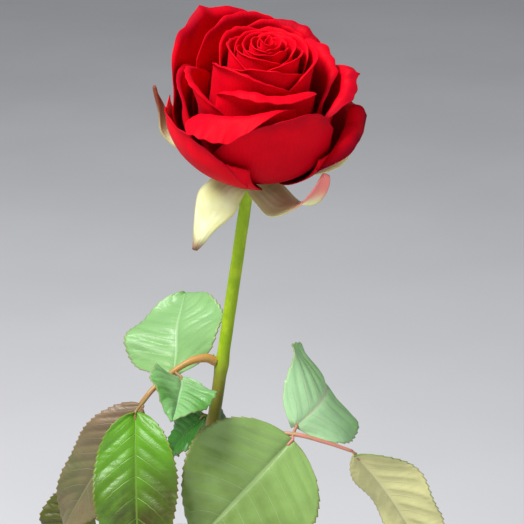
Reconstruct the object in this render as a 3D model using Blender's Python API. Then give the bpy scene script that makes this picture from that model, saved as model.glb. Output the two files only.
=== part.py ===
"""A cut rose in a bud vase, in metres: +Z is up, the front faces -Y and the vase's foot is at the origin.

The stem's foot rests on the vase's floor and the stem leans on its rim. Leaves and bloom follow the stem.
"""

from collections import namedtuple
from math import cos, degrees, pi, radians, sin, sqrt

import bmesh
import bpy
from mathutils import Euler, Vector

GAP = 0.0003

# Columns and rows of each kind of sheet, and the steps of each curve in a petal's or sepal's run.
OUTER_GRID = (10, 11)
HEART_GRID = (10, 5)
SEPAL_GRID = (4, 8)
LEAFLET_GRID = (4, 8)
PROFILE_STEPS = 12

# The vase: a round foot, a full body, and a narrow neck for one stem.
VASE_HEIGHT = 0.170
VASE_WALL = 0.003
VASE_FLOOR = 0.005
FOOT_RADIUS = 0.022
BODY_RADIUS = 0.031
BODY_HEIGHT = 0.042
NECK_RADIUS = 0.0125
NECK_HEIGHT = 0.112
RIM_FLARE = 0.0008
VASE_SEGMENTS = 28
VASE_RINGS = 5

# The stem, measured along its axis from the cut foot. Leaves grow from its nodes.
STEM_LENGTH = 0.3305
STEM_FOOT_RADIUS = 0.0031
STEM_TOP_RADIUS = 0.0024
NODE_SWELLING = 0.0005
STEM_BEND = 0.030
UPPER_NODE = 0.2475
MIDDLE_NODE = 0.2145
LOWER_NODE = 0.2030

# The bloom: nested shells, one to a petal, numbered from the outermost. Radii are the petals' bellies.
BLOOM_LEAN = 7.0
BLOOM_NOD = 20.0
GOLDEN_ANGLE = 137.5
FIRST_TURN = 235.0
BLOOM_RADIUS = 0.0345
HEART_RADIUS = 0.0186
CENTRE_RADIUS = 0.00145
BELLY_HEIGHT = 0.021
CLAW_WIDTH = 0.0025
CLAW_SHARE = 0.55
SPIRAL = 0.15
TOP_CROWDING = 1.35
OUTER_THICKNESS = 0.0004
HEART_THICKNESS = 0.0003

# The heart's petals run evenly from the first to the centre one.
HEART_PETALS = 17
HEART_WRAP = 60.0
CENTRE_WRAP = 125.0
HEART_LIP_HEIGHT = 0.0485
CENTRE_LIP_HEIGHT = 0.0545
HEART_FALL = 0.009
CENTRE_FALL = 0.003
HEART_CLOSING = 1.0
HEART_ROLL_ANGLE = 10

# The hip under the bloom, and the cone inside it that the petals grow from.
HIP_DEPTH = 0.008
HIP_RADIUS = 0.007
HIP_NECK_RADIUS = 0.0028
HIP_CONE_HEIGHT = 0.0115
HIP_CONE_RADIUS = 0.002

# An outer petal: the way it faces and how far it wraps to each side, in degrees, then its lip: the height,
# the fall to the sides, the outward roll, the flat tail past it, the flare of the mouth, the rise across it.
Petal = namedtuple("Petal", "turn wrap height fall roll_radius roll_angle tail flare rise")
OUTER_PETALS = (
    Petal(218.0, 50.0, 0.0240, 0.011, 0.0020, 60, 0.0000, 0.0000, 0.0000),
    Petal(357.0, 42.0, 0.0250, 0.010, 0.0030, 150, 0.0030, 0.0000, 0.0000),
    Petal(134.0, 50.0, 0.0420, 0.010, 0.0035, 90, 0.0000, 0.0030, -0.0040),
    Petal(287.0, 48.0, 0.0395, 0.016, 0.0020, 60, 0.0000, 0.0000, 0.0050),
    Petal(66.0, 45.0, 0.0410, 0.013, 0.0030, 90, 0.0000, 0.0000, 0.0060),
    Petal(176.0, 36.0, 0.0320, 0.010, 0.0022, 90, 0.0000, 0.0015, 0.0000),
    Petal(2.0, 44.0, 0.0390, 0.010, 0.0032, 110, 0.0020, 0.0020, 0.0000),
    Petal(112.0, 55.0, 0.0475, 0.010, 0.0025, 60, 0.0000, 0.0000, 0.0000),
    Petal(250.0, 52.0, 0.0360, 0.006, 0.0030, 130, 0.0080, 0.0030, 0.0090),
    Petal(30.0, 56.0, 0.0420, 0.010, 0.0030, 110, 0.0000, 0.0000, 0.0000),
    Petal(198.0, 46.0, 0.0380, 0.008, 0.0028, 100, 0.0000, 0.0045, 0.0000),
    Petal(280.0, 60.0, 0.0435, 0.006, 0.0030, 110, 0.0020, 0.0000, 0.0000),
    Petal(80.0, 58.0, 0.0490, 0.010, 0.0020, 50, 0.0000, 0.0000, 0.0000),
    Petal(245.0, 62.0, 0.0480, 0.006, 0.0025, 90, 0.0000, 0.0000, 0.0000),
)

# A sepal's breadth, and its midrib's path: turn in degrees, share of the way out from the hip to the outer
# petal's belly, and height in the bloom.
SEPAL_THICKNESS = 0.0008
SEPAL_END_SHARE = 0.12
Sepal = namedtuple("Sepal", "name breadth path")
SEPALS = (
    Sepal(
        "sepal_front_left",
        0.018,
        (
            (238, 0, -0.0022),
            (234, 0.291, -0.0043),
            (231, 0.473, -0.0095),
            (228, 0.600, -0.0198),
            (226, 0.698, -0.0320),
        ),
    ),
    Sepal(
        "sepal_front_right",
        0.017,
        (
            (297, 0, -0.0022),
            (300, 0.364, -0.0026),
            (304, 0.745, -0.0015),
            (311, 1.000, 0.0055),
            (316, 1.073, 0.0160),
        ),
    ),
    Sepal(
        "sepal_right",
        0.011,
        (
            (5, 0, -0.0022),
            (5, 0.545, -0.0008),
            (4, 0.927, 0.0060),
            (3, 1.098, 0.0143),
            (2, 1.164, 0.0225),
        ),
    ),
    Sepal(
        "sepal_back",
        0.011,
        (
            (91, 0, -0.0022),
            (91, 0.545, -0.0018),
            (91, 0.945, 0.0045),
            (91, 1.109, 0.0138),
            (91, 1.127, 0.0210),
        ),
    ),
    Sepal(
        "sepal_left",
        0.009,
        (
            (172, 0, -0.0022),
            (171, 0.545, -0.0003),
            (170, 0.945, 0.0060),
            (168, 1.109, 0.0143),
            (166, 1.255, 0.0220),
        ),
    ),
)

# Leaves. Places are measured from the leaf's node on the stem's axis. Facing is the way the upper side
# looks, fold is in degrees and arch is a share of the length. A joint counts the places along the petiole.
PETIOLE_FOOT_RADIUS = 0.0013
PETIOLE_END_RADIUS = 0.0007
LEAF_THICKNESS = 0.0005
LEAFLET_END_SHARE = 0.03
STALK_START = 0.23
LEAFLET_WIDEST = 0.4125
Leaf = namedtuple("Leaf", "name node petiole leaflets")
Blade = namedtuple("Blade", "name joint base tip facing breadth fold arch")
LEFT_LEAFLETS = (
    Blade("upper", 3, (-0.0197, 0.0005, -0.005), (-0.0165, 0.038, 0.017), (-9, -10, 15), 0.046, 6, 0.05),
    Blade("inner", 3, (-0.016, -0.0105, -0.0015), (-0.018, -0.04, -0.006), (7, -7, 17), 0.028, 12, 0.1),
    Blade("front", 4, (-0.034, -0.023, -0.011), (-0.032, -0.049, -0.072), (-1, -16, 11), 0.034, 8, 0.08),
    Blade("side", 5, (-0.0315, -0.0167, -0.0115), (-0.066, -0.016, -0.068), (-3, -5, 3), 0.030, 8, 0.05),
    Blade("tip", 7, (-0.0595, 0.004, -0.062), (-0.07, 0.006, -0.095), (-3, -7, 5), 0.030, 8, 0.05),
)
RIGHT_LEAFLETS = (
    Blade("front", 3, (0.0352, -0.016, 0.0175), (-0.0035, -0.034, -0.019), (5, -45, 21), 0.060, 6, 0.04),
    Blade("upper", 3, (0.037, -0.0085, 0.02), (0.04, 0.029, 0.025), (20, -9, 12), 0.050, 0, 0.36),
    Blade("tip", 5, (0.061, -0.0153, 0.0105), (0.0935, -0.024, -0.04), (7, 16, 10), 0.036, 14, 0.06),
)
BACK_LEAFLETS = (
    Blade("left", 2, (-0.0035, 0.0148, 0.0025), (-0.0185, 0.026, -0.0206), (-3, -6, 7), 0.018, 8, 0.05),
    Blade("tip", 3, (0, 0.029, -0.0075), (0.003, 0.056, -0.042), (0, 3, 4), 0.026, 8, 0.10),
    Blade("right", 2, (0.0015, 0.015, 0.001), (0.019, 0.031, -0.029), (5, 1, 8), 0.022, 8, 0.08),
)
LEFT_PETIOLE = (
    (-0.0064, -0.0020, 0.0034),
    (-0.0124, -0.0040, 0.0029),
    (-0.0192, -0.0070, -0.0002),
    (-0.0263, -0.0120, -0.0046),
    (-0.0324, -0.0140, -0.0116),
    (-0.0474, -0.0040, -0.0372),
    (-0.0589, 0.0030, -0.0605),
)
RIGHT_PETIOLE = (
    (0.0070, -0.0040, 0.0100),
    (0.0205, -0.0090, 0.0160),
    (0.0354, -0.0130, 0.0185),
    (0.0484, -0.0150, 0.0159),
    (0.0594, -0.0155, 0.0121),
)
BACK_PETIOLE = ((-0.0010, 0.0070, 0.0030), (-0.0010, 0.0150, 0.0020), (0.0000, 0.0270, -0.0060))
LEAVES = (
    Leaf("left_leaf", UPPER_NODE, LEFT_PETIOLE, LEFT_LEAFLETS),
    Leaf("right_leaf", LOWER_NODE, RIGHT_PETIOLE, RIGHT_LEAFLETS),
    Leaf("back_leaf", MIDDLE_NODE, BACK_PETIOLE, BACK_LEAFLETS),
)

CERAMIC = ("ceramic", (0.80, 0.79, 0.75), 0.25)
STEM_GREEN = ("stem_green", (0.23, 0.38, 0.02), 0.45)
PETIOLE_BROWN = ("petiole_brown", (0.40, 0.22, 0.08), 0.5)
LEAF_GREEN = ("leaf_green", (0.15, 0.36, 0.09), 0.4)
SEPAL_GREEN = ("sepal_green", (0.62, 0.62, 0.30), 0.5)
PETAL_RED = ("petal_red", (0.55, 0.0, 0.012), 0.55)


def clear_scene():
    for existing in list(bpy.data.objects):
        bpy.data.objects.remove(existing)


def add_object(name, data, finish, parent=None):
    material_name, colour, roughness = finish
    material = bpy.data.materials.get(material_name) or bpy.data.materials.new(material_name)
    material.use_nodes = True
    shader = material.node_tree.nodes["Principled BSDF"]
    shader.inputs["Base Color"].default_value = (*colour, 1)
    shader.inputs["Roughness"].default_value = roughness
    shader.inputs["Metallic"].default_value = 0
    data.materials.append(material)
    added = bpy.data.objects.new(name, data)
    bpy.context.scene.collection.objects.link(added)
    added.parent = parent
    return added


def add_frame(name, location, rotation=(0, 0, 0)):
    frame = bpy.data.objects.new(name, None)
    bpy.context.scene.collection.objects.link(frame)
    frame.location = location
    frame.rotation_euler = rotation
    return frame


def turned_mesh(name, outline, segments):
    """The closed solid that an outline of (radius, height) points sweeps about the Z axis."""
    shape = bmesh.new()
    points = [shape.verts.new((radius, 0, height)) for radius, height in outline]
    edges = [shape.edges.new(pair) for pair in zip(points, points[1:])]
    axis, centre = (0, 0, 1), (0, 0, 0)
    bmesh.ops.spin(shape, geom=points + edges, cent=centre, axis=axis, angle=2 * pi, steps=segments)
    bmesh.ops.remove_doubles(shape, verts=shape.verts, dist=1e-6)
    bmesh.ops.recalc_face_normals(shape, faces=shape.faces)
    mesh = bpy.data.meshes.new(name)
    shape.to_mesh(mesh)
    shape.free()
    return mesh


def sheet_mesh(name, columns, rows, place):
    """A grid of faces, its corners at place(across, along): across from -1 to 1 and along from 0 to 1."""
    across = [2 * column / columns - 1 for column in range(columns + 1)]
    along = [row / rows for row in range(rows + 1)]
    points = [place(u, v) for v in along for u in across]
    width = columns + 1
    starts = [row * width + column for row in range(rows) for column in range(columns)]
    faces = [(start, start + 1, start + width + 1, start + width) for start in starts]
    mesh = bpy.data.meshes.new(name)
    mesh.from_pydata(points, [], faces)
    return mesh


def thicken(sheet, thickness):
    solid = sheet.modifiers.new("thickness", "SOLIDIFY")
    solid.thickness = thickness
    solid.offset = 0


def add_tube(name, points, radii, finish, parent=None):
    curve = bpy.data.curves.new(name, "CURVE")
    curve.dimensions = "3D"
    curve.bevel_depth = 1
    curve.bevel_resolution = 3
    curve.resolution_u = 5
    curve.use_fill_caps = True
    spline = curve.splines.new("BEZIER")
    spline.bezier_points.add(len(points) - 1)
    for knot, point, radius in zip(spline.bezier_points, points, radii):
        knot.co = point
        knot.radius = radius
        knot.handle_left_type = knot.handle_right_type = "AUTO"
    return add_object(name, curve, finish, parent)


def between(start, end, share):
    return start + (end - start) * share


# Vase


def vase_radius(height):
    """The outer radius at this height."""
    if height < BODY_HEIGHT:
        return between(FOOT_RADIUS, BODY_RADIUS, sin(pi / 2 * height / BODY_HEIGHT))
    if height < NECK_HEIGHT:
        share = (height - BODY_HEIGHT) / (NECK_HEIGHT - BODY_HEIGHT)
        return between(NECK_RADIUS, BODY_RADIUS, (1 + cos(pi * share)) / 2)
    share = (height - NECK_HEIGHT) / (VASE_HEIGHT - NECK_HEIGHT)
    return NECK_RADIUS + RIM_FLARE * share**2


def ring_heights(bottom, top):
    return [between(bottom, top, ring / VASE_RINGS) for ring in range(VASE_RINGS)]


def add_vase():
    heights = ring_heights(0, BODY_HEIGHT) + ring_heights(BODY_HEIGHT, NECK_HEIGHT)
    heights += ring_heights(NECK_HEIGHT, VASE_HEIGHT - VASE_WALL / 2)
    rim = [
        (
            vase_radius(VASE_HEIGHT) - VASE_WALL / 2 * (1 - cos(turn)),
            VASE_HEIGHT - VASE_WALL / 2 * (1 - sin(turn)),
        )
        for turn in (0, pi / 4, pi / 2, 3 * pi / 4, pi)
    ]
    outside = [(vase_radius(height), height) for height in heights]
    inner_heights = [VASE_FLOOR] + [height for height in heights if height > VASE_FLOOR + VASE_WALL]
    inside = [(vase_radius(height) - VASE_WALL, height) for height in reversed(inner_heights)]
    outline = [(0, 0), *outside, *rim, *inside, (0, VASE_FLOOR)]
    add_object("vase", turned_mesh("vase", outline, VASE_SEGMENTS), CERAMIC)


# Stem


def stem_line():
    """The foot of the stem's axis, in the corner of the vase's floor, and its direction to the rim."""
    foot_x = STEM_FOOT_RADIUS + GAP + VASE_WALL - vase_radius(VASE_FLOOR)
    rim_x = vase_radius(VASE_HEIGHT) - VASE_WALL - 2 * GAP - STEM_FOOT_RADIUS
    direction = Vector((rim_x - foot_x, 0, VASE_HEIGHT - VASE_FLOOR)).normalized()
    foot = Vector((foot_x, 0, VASE_FLOOR + GAP + STEM_FOOT_RADIUS * direction.x))
    return foot, direction


def stem_place(distance):
    foot, direction = stem_line()
    return foot + direction * distance


def stem_radius(distance):
    return between(STEM_FOOT_RADIUS, STEM_TOP_RADIUS, distance / STEM_LENGTH)


def bloom_rotation():
    return Euler((radians(BLOOM_NOD), radians(BLOOM_LEAN), 0), "XYZ")


def stem_end():
    """Where the stem meets the hip, bent from its own line to the bloom's."""
    _, direction = stem_line()
    up = bloom_rotation().to_matrix() @ Vector((0, 0, 1))
    start = stem_place(STEM_LENGTH - STEM_BEND)
    return start + (direction + up) * STEM_BEND / 2, up


def add_stem():
    end, up = stem_end()
    nodes = (LOWER_NODE, MIDDLE_NODE, UPPER_NODE)
    bend_start = STEM_LENGTH - STEM_BEND
    middles = [(lower + upper) / 2 for lower, upper in zip((0, *nodes), (*nodes, bend_start))]
    knots = sorted([0, *nodes, *middles, bend_start])
    points = [stem_place(knot) for knot in knots] + [end - up * STEM_BEND / 4, end]
    radii = [stem_radius(knot) + (NODE_SWELLING if knot in nodes else 0) for knot in knots]
    add_tube("stem", points, radii + [STEM_TOP_RADIUS] * 2, STEM_GREEN)


# Bloom


def add_hip(bloom):
    outline = (
        (0, -HIP_DEPTH),
        (HIP_NECK_RADIUS, -HIP_DEPTH),
        (HIP_RADIUS * 0.7, -HIP_DEPTH * 0.7),
        (HIP_RADIUS * 0.9, -HIP_DEPTH * 0.4),
        (HIP_RADIUS, 0),
        (HIP_CONE_RADIUS, HIP_CONE_HEIGHT),
        (0, HIP_CONE_HEIGHT),
    )
    add_object("hip", turned_mesh("hip", outline, 20), STEM_GREEN, bloom)


def bowl_root(index, belly):
    """The radius and height at which this petal leaves the hip's cone."""
    last = len(OUTER_PETALS) + HEART_PETALS - 1
    height = (HIP_CONE_HEIGHT + 2 * GAP) * index / (last - 1)
    cone_radius = between(HIP_RADIUS, HIP_CONE_RADIUS, height / HIP_CONE_HEIGHT)
    return min(cone_radius + 2 * GAP, belly - GAP), height


def petal_run(petal, index, belly, closing, across):
    """One column of a petal from root to margin, as (radius, height) points: bowl, wall, roll and tail."""
    root, root_height = bowl_root(index, belly)
    lip_height = petal.height - petal.fall * abs(across) ** 2.6 + petal.rise * across
    mouth = (belly + petal.flare * (1 - across**2)) * closing
    roll_radius = petal.roll_radius * (1 - 0.35 * across**2)
    roll_angle = radians(petal.roll_angle * (1 - 0.55 * abs(across) ** 3))
    steps = range(1, PROFILE_STEPS + 1)
    bowl = [
        (between(root, belly, sin(turn)), between(BELLY_HEIGHT, root_height, cos(turn)))
        for turn in (pi / 2 * step / PROFILE_STEPS for step in (0, *steps))
    ]
    wall = [
        (between(belly, mouth, (1 - cos(pi * share)) / 2), between(BELLY_HEIGHT, lip_height, share))
        for share in (step / PROFILE_STEPS for step in steps)
    ]
    roll = [
        (mouth + roll_radius * (1 - cos(turn)), lip_height + roll_radius * sin(turn))
        for turn in (roll_angle * step / PROFILE_STEPS for step in steps)
    ]
    tail = petal.tail * (1 - across**6)
    end = (roll[-1][0] + tail * sin(roll_angle), roll[-1][1] + tail * cos(roll_angle))
    return [Vector(point) for point in [*bowl, *wall, *roll, end]]


def along_run(run, share):
    """The point at this share of the run's length."""
    lengths = [(after - before).length for before, after in zip(run, run[1:])]
    left = share * sum(lengths)
    for before, after, length in zip(run, run[1:], lengths):
        if left <= length and length > 0:
            return before.lerp(after, left / length)
        left -= length
    return run[-1]


def add_petal(petal, index, belly, step, closing, grid, thickness, bloom):
    name = f"petal_{index + 1:02d}"

    def place(across, along):
        share = 1 - (1 - along) ** TOP_CROWDING
        radius, height = along_run(petal_run(petal, index, belly, closing, across), share)
        opening = sin(pi / 2 * min(1, share / CLAW_SHARE))
        half_width = between(CLAW_WIDTH, belly * radians(petal.wrap), opening)
        wrap = across * min(half_width / radius, radians(CENTRE_WRAP))
        tucked = radius - SPIRAL * step * opening * degrees(wrap) / GOLDEN_ANGLE
        turn = radians(petal.turn) + wrap
        return (tucked * cos(turn), tucked * sin(turn), height)

    thicken(add_object(name, sheet_mesh(name, *grid, place), PETAL_RED, bloom), thickness)


def add_petals(bloom):
    outer = len(OUTER_PETALS)
    step = (BLOOM_RADIUS - HEART_RADIUS) / (outer - 1)
    for index, petal in enumerate(OUTER_PETALS):
        add_petal(petal, index, BLOOM_RADIUS - step * index, step, 1, OUTER_GRID, OUTER_THICKNESS, bloom)
    step = (HEART_RADIUS - CENTRE_RADIUS) / HEART_PETALS
    for number in range(1, HEART_PETALS + 1):
        share = number / HEART_PETALS
        index = outer + number - 1
        petal = Petal(
            turn=FIRST_TURN + GOLDEN_ANGLE * index,
            wrap=between(HEART_WRAP, CENTRE_WRAP, share),
            height=between(HEART_LIP_HEIGHT, CENTRE_LIP_HEIGHT, share),
            fall=between(HEART_FALL, CENTRE_FALL, share),
            roll_radius=step,
            roll_angle=HEART_ROLL_ANGLE,
            tail=0,
            flare=0,
            rise=0,
        )
        belly = HEART_RADIUS - step * number
        add_petal(petal, index, belly, step, HEART_CLOSING, HEART_GRID, HEART_THICKNESS, bloom)


def add_sepal(sepal, bloom):
    midrib = []
    for turn, share, height in sepal.path:
        radius = between(HIP_RADIUS, BLOOM_RADIUS, share)
        midrib.append(Vector((radius * cos(radians(turn)), radius * sin(radians(turn)), height)))

    def place(across, along):
        point = along_run(midrib, along)
        sideways = Vector((-point.y, point.x, 0)).normalized()
        bulge = sin(pi * between(SEPAL_END_SHARE, 1, along))
        half_width = sepal.breadth / 2 * between(SEPAL_END_SHARE, 1, bulge)
        return point + sideways * across * half_width

    sheet = add_object(sepal.name, sheet_mesh(sepal.name, *SEPAL_GRID, place), SEPAL_GREEN, bloom)
    thicken(sheet, SEPAL_THICKNESS)


def add_bloom():
    end, up = stem_end()
    bloom = add_frame("bloom", end + up * (HIP_DEPTH + GAP), bloom_rotation())
    add_hip(bloom)
    for sepal in SEPALS:
        add_sepal(sepal, bloom)
    add_petals(bloom)


# Leaves


def add_leaflet(name, leaflet, foot, node):
    """A blade on a narrow stalk, which is the first row of its sheet."""
    base = Vector(leaflet.base)
    axis = Vector(leaflet.tip) - base
    sideways = axis.cross(Vector(leaflet.facing)).normalized()
    upward = sideways.cross(axis).normalized()
    fold = radians(leaflet.fold)

    rows = LEAFLET_GRID[1]

    def place(across, along_sheet):
        if along_sheet == 0:
            return foot + sideways * across * leaflet.breadth / 2 * LEAFLET_END_SHARE
        along = (along_sheet * rows - 1) / (rows - 1)
        outline = between(LEAFLET_END_SHARE, 1, along**0.55 * (1 - along) ** 0.75 / LEAFLET_WIDEST)
        half_width = leaflet.breadth / 2 * outline
        rise = leaflet.arch * axis.length * 4 * along * (1 - along)
        point = base + axis * along + sideways * across * half_width * cos(fold)
        return point + upward * (rise + abs(across) * half_width * sin(fold))

    thicken(add_object(name, sheet_mesh(name, *LEAFLET_GRID, place), LEAF_GREEN, node), LEAF_THICKNESS)


def add_leaf(leaf):
    node = add_frame(leaf.name, stem_place(leaf.node))
    knots = [Vector(point) for point in leaf.petiole]
    first = knots[0].normalized()
    along_stem = first.dot(stem_line()[1])
    clear = stem_radius(leaf.node) + NODE_SWELLING + GAP + PETIOLE_FOOT_RADIUS * abs(along_stem)
    knots.insert(0, first * clear / sqrt(1 - along_stem**2))
    radii = [between(PETIOLE_FOOT_RADIUS, PETIOLE_END_RADIUS, n / len(knots)) for n in range(len(knots))]
    add_tube(f"{leaf.name}_petiole", knots, radii, PETIOLE_BROWN, node)
    for leaflet in leaf.leaflets:
        joint, base = knots[leaflet.joint], Vector(leaflet.base)
        clear = radii[leaflet.joint] + GAP + LEAF_THICKNESS / 2
        foot = joint.lerp(base, max(STALK_START, clear / (base - joint).length))
        add_leaflet(f"{leaf.name}_{leaflet.name}_leaflet", leaflet, foot, node)


def main():
    clear_scene()
    add_vase()
    add_stem()
    add_bloom()
    for leaf in LEAVES:
        add_leaf(leaf)


main()
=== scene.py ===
"""The looks of a red rose in a bud vase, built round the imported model.

Metres, +Z up, the front faces -Y. Every CAD node gets a detailed piece of the same name and place: the
vase, the stem, the hip, each petal, sepal, petiole and leaflet. Lengths that the CAD model also has are
repeated here under the same names.
"""

from collections import namedtuple
from math import cos, exp, pi, radians, sin

import bpy
import numpy as np
from mathutils import Euler, Matrix, Vector, noise


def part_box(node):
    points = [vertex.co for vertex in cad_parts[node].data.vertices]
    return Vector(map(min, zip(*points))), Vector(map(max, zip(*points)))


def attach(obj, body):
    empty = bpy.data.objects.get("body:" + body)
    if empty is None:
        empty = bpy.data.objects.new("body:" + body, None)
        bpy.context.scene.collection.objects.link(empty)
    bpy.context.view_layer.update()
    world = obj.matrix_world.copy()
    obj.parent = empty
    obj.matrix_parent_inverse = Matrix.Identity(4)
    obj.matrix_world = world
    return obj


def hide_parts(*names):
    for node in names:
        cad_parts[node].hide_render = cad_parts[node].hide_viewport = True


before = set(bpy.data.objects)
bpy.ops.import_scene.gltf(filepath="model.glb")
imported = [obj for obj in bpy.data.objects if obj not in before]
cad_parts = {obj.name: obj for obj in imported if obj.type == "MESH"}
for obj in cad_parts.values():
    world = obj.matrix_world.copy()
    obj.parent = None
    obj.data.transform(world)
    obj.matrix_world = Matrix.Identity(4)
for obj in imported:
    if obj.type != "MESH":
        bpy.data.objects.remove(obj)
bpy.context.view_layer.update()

GAP = 0.0003

# Vase, as tall as the CAD model's
VASE_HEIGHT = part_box("vase")[1][2]
VASE_WALL = 0.003
VASE_FLOOR = 0.005
FOOT_RADIUS = 0.022
BODY_RADIUS = 0.031
BODY_HEIGHT = 0.042
NECK_RADIUS = 0.0125
NECK_HEIGHT = 0.112
RIM_FLARE = 0.0008
FOOT_BEVEL = 0.0012
FLOOR_FILLET = 0.003
FILLET_MIDDLE = (0.0004, 0.001)
FLOOR_FLAT_RADIUS = 0.018
VASE_STEPS = 90
VASE_SEGMENTS = 96

# Stem, along its axis from the cut foot
STEM_LENGTH = 0.3305
STEM_FOOT_RADIUS = 0.0031
STEM_TOP_RADIUS = 0.0024
STEM_BEND = 0.030
UPPER_NODE = 0.2475
MIDDLE_NODE = 0.2145
LOWER_NODE = 0.2030
NODE_LENGTH = 0.0035
NODE_SWELLING = 0.17
STEM_UNEVENNESS = 0.03
STEM_SIDES = 28
BUD_LENGTH = 0.0035
BUD_RADIUS = 0.0011
# The mesh's knots lie closest round the leaf nodes, where the stem swells.
STEM_KNOTS = (0, 0.06, 0.12, 0.18, LOWER_NODE, MIDDLE_NODE, 0.231, UPPER_NODE, 0.262, 0.275)

# Bloom
BLOOM_LEAN = 7.0
BLOOM_NOD = 20.0
GOLDEN_ANGLE = 137.5
FIRST_TURN = 235.0
BLOOM_RADIUS = 0.0345
HEART_RADIUS = 0.0186
CENTRE_RADIUS = 0.00145
BELLY_HEIGHT = 0.021
HEART_PETALS = 17
HIP_DEPTH = 0.008
HIP_RADIUS = 0.007
HIP_CONE_HEIGHT = 0.0115
HIP_CONE_RADIUS = 0.002
# The hip's side, as shares of its radius and of its depth
HIP_OUTLINE = ((0.62, -0.80), (0.88, -0.45), (0.98, -0.12))
HIP_SEGMENTS = 48
HEART_WRAP = 60.0
CENTRE_WRAP = 150.0
CLAW_WIDTH = 0.0025
CLAW_SHARE = 0.55
SPIRAL = 0.3
RUN_STEPS = 20
ROLL_STEPS = 24
POINT_WIDTH = 0.22
POINT_SHARPNESS = 1.4
FALL_SHARPNESS = 2.6
EDGE_ROLL_LOSS = 0.35
EDGE_TURN_LOSS = 0.55
TURN_UNEVENNESS = 0.25
LIP_UNEVENNESS = 0.0008
SURFACE_UNEVENNESS = 0.0004
LIP_WAVE = 0.0006
PETAL_THICKNESS = 0.0004
PETAL_COLUMNS = 44
PETAL_ROWS = 52
TOP_CROWDING = 1.35

# A petal: the way it faces and how far it wraps to each side, in degrees, then its lip: the height,
# the fall to the sides, the outward roll, the flat tail past it and the side that tail keeps to, the
# flare of the mouth, the rise across it, the length of its point and its age.
Petal = namedtuple(
    "Petal", "turn wrap height fall roll_radius roll_angle tail tail_side flare rise point age"
)
OUTER_PETALS = (
    Petal(218, 50, 0.0240, 0.011, 0.0020, 60, 0.0000, 0, 0.0000, 0.0000, 0.0000, 0.3),
    Petal(357, 42, 0.0250, 0.010, 0.0030, 150, 0.0030, 0, 0.0000, 0.0000, 0.0040, 0.8),
    Petal(134, 50, 0.0420, 0.010, 0.0035, 90, 0.0000, 0, 0.0030, -0.0040, 0.0040, 0.5),
    Petal(287, 48, 0.0395, 0.016, 0.0020, 60, 0.0000, 0, 0.0000, 0.0050, 0.0000, 0.3),
    Petal(66, 45, 0.0410, 0.013, 0.0030, 90, 0.0000, 0, 0.0000, 0.0060, 0.0000, 0.5),
    Petal(176, 36, 0.0320, 0.010, 0.0022, 90, 0.0000, 0, 0.0015, 0.0000, 0.0000, 0.4),
    Petal(2, 44, 0.0390, 0.010, 0.0032, 110, 0.0020, 0, 0.0020, 0.0000, 0.0030, 0.5),
    Petal(112, 55, 0.0475, 0.010, 0.0025, 60, 0.0000, 0, 0.0000, 0.0000, 0.0000, 0.2),
    Petal(250, 52, 0.0360, 0.006, 0.0030, 130, 0.0080, -1, 0.0030, 0.0090, 0.0000, 0.1),
    Petal(30, 56, 0.0420, 0.010, 0.0030, 110, 0.0000, 0, 0.0000, 0.0000, 0.0000, 0.3),
    Petal(198, 46, 0.0380, 0.008, 0.0028, 100, 0.0000, 0, 0.0045, 0.0000, 0.0000, 0.2),
    Petal(280, 60, 0.0435, 0.006, 0.0030, 110, 0.0020, 0, 0.0000, 0.0000, 0.0000, 0.1),
    Petal(80, 58, 0.0490, 0.010, 0.0020, 50, 0.0000, 0, 0.0000, 0.0000, 0.0000, 0.1),
    Petal(245, 62, 0.0480, 0.006, 0.0025, 90, 0.0000, 0, 0.0000, 0.0000, 0.0000, 0.1),
)
HEART_LIP_HEIGHT = 0.0485
CENTRE_LIP_HEIGHT = 0.0545
HEART_LIP_WAVE = 0.0006
HEART_FALL = 0.009
CENTRE_FALL = 0.003
HEART_ROLL_RADIUS = 0.0020
CENTRE_ROLL_RADIUS = 0.0005
HEART_ROLL_ANGLE = 75

# Sepals
SEPAL_SHEET_THICKNESS = 0.00064
SEPAL_END_SHARE = 0.12
SEPAL_CUP = 0.28
SEPAL_RIPPLE = 0.0004
SEPAL_EDGE_WAVE = 0.06
SEPAL_COLUMNS = 14
SEPAL_STEPS = 12
# A sepal's path has turns in degrees, shares of the way from the hip's radius to the bloom's, and
# heights. The lower its sharpness, the fuller its outline.
Sepal = namedtuple("Sepal", "node breadth sharpness tip path")
SEPALS = (
    Sepal(
        "sepal_front_left",
        0.018,
        1,
        "brown",
        (
            (238, 0, -0.0022),
            (234, 0.291, -0.0043),
            (231, 0.473, -0.0095),
            (228, 0.600, -0.0198),
            (226, 0.698, -0.0320),
        ),
    ),
    Sepal(
        "sepal_front_right",
        0.017,
        0.6,
        "pink",
        (
            (297, 0, -0.0022),
            (300, 0.364, -0.0026),
            (304, 0.745, -0.0015),
            (311, 1.000, 0.0055),
            (316, 1.073, 0.0160),
        ),
    ),
    Sepal(
        "sepal_right",
        0.011,
        1,
        "pale",
        (
            (5, 0, -0.0022),
            (5, 0.545, -0.0008),
            (4, 0.927, 0.0060),
            (3, 1.098, 0.0143),
            (2, 1.164, 0.0225),
        ),
    ),
    Sepal(
        "sepal_back",
        0.011,
        1,
        "green",
        (
            (91, 0, -0.0022),
            (91, 0.545, -0.0018),
            (91, 0.945, 0.0045),
            (91, 1.109, 0.0138),
            (91, 1.127, 0.0210),
        ),
    ),
    Sepal(
        "sepal_left",
        0.009,
        1,
        "red",
        (
            (172, 0, -0.0022),
            (171, 0.545, -0.0003),
            (170, 0.945, 0.0060),
            (168, 1.109, 0.0143),
            (166, 1.255, 0.0220),
        ),
    ),
)

# Leaves, measured from the leaf's node on the stem
PETIOLE_FOOT_RADIUS = 0.0013
PETIOLE_END_RADIUS = 0.0007
LEAF_THICKNESS = 0.0005
LEAFLET_WIDEST = 0.4125
LEAF_COLUMNS = 36
LEAF_ROWS = 120
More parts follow.
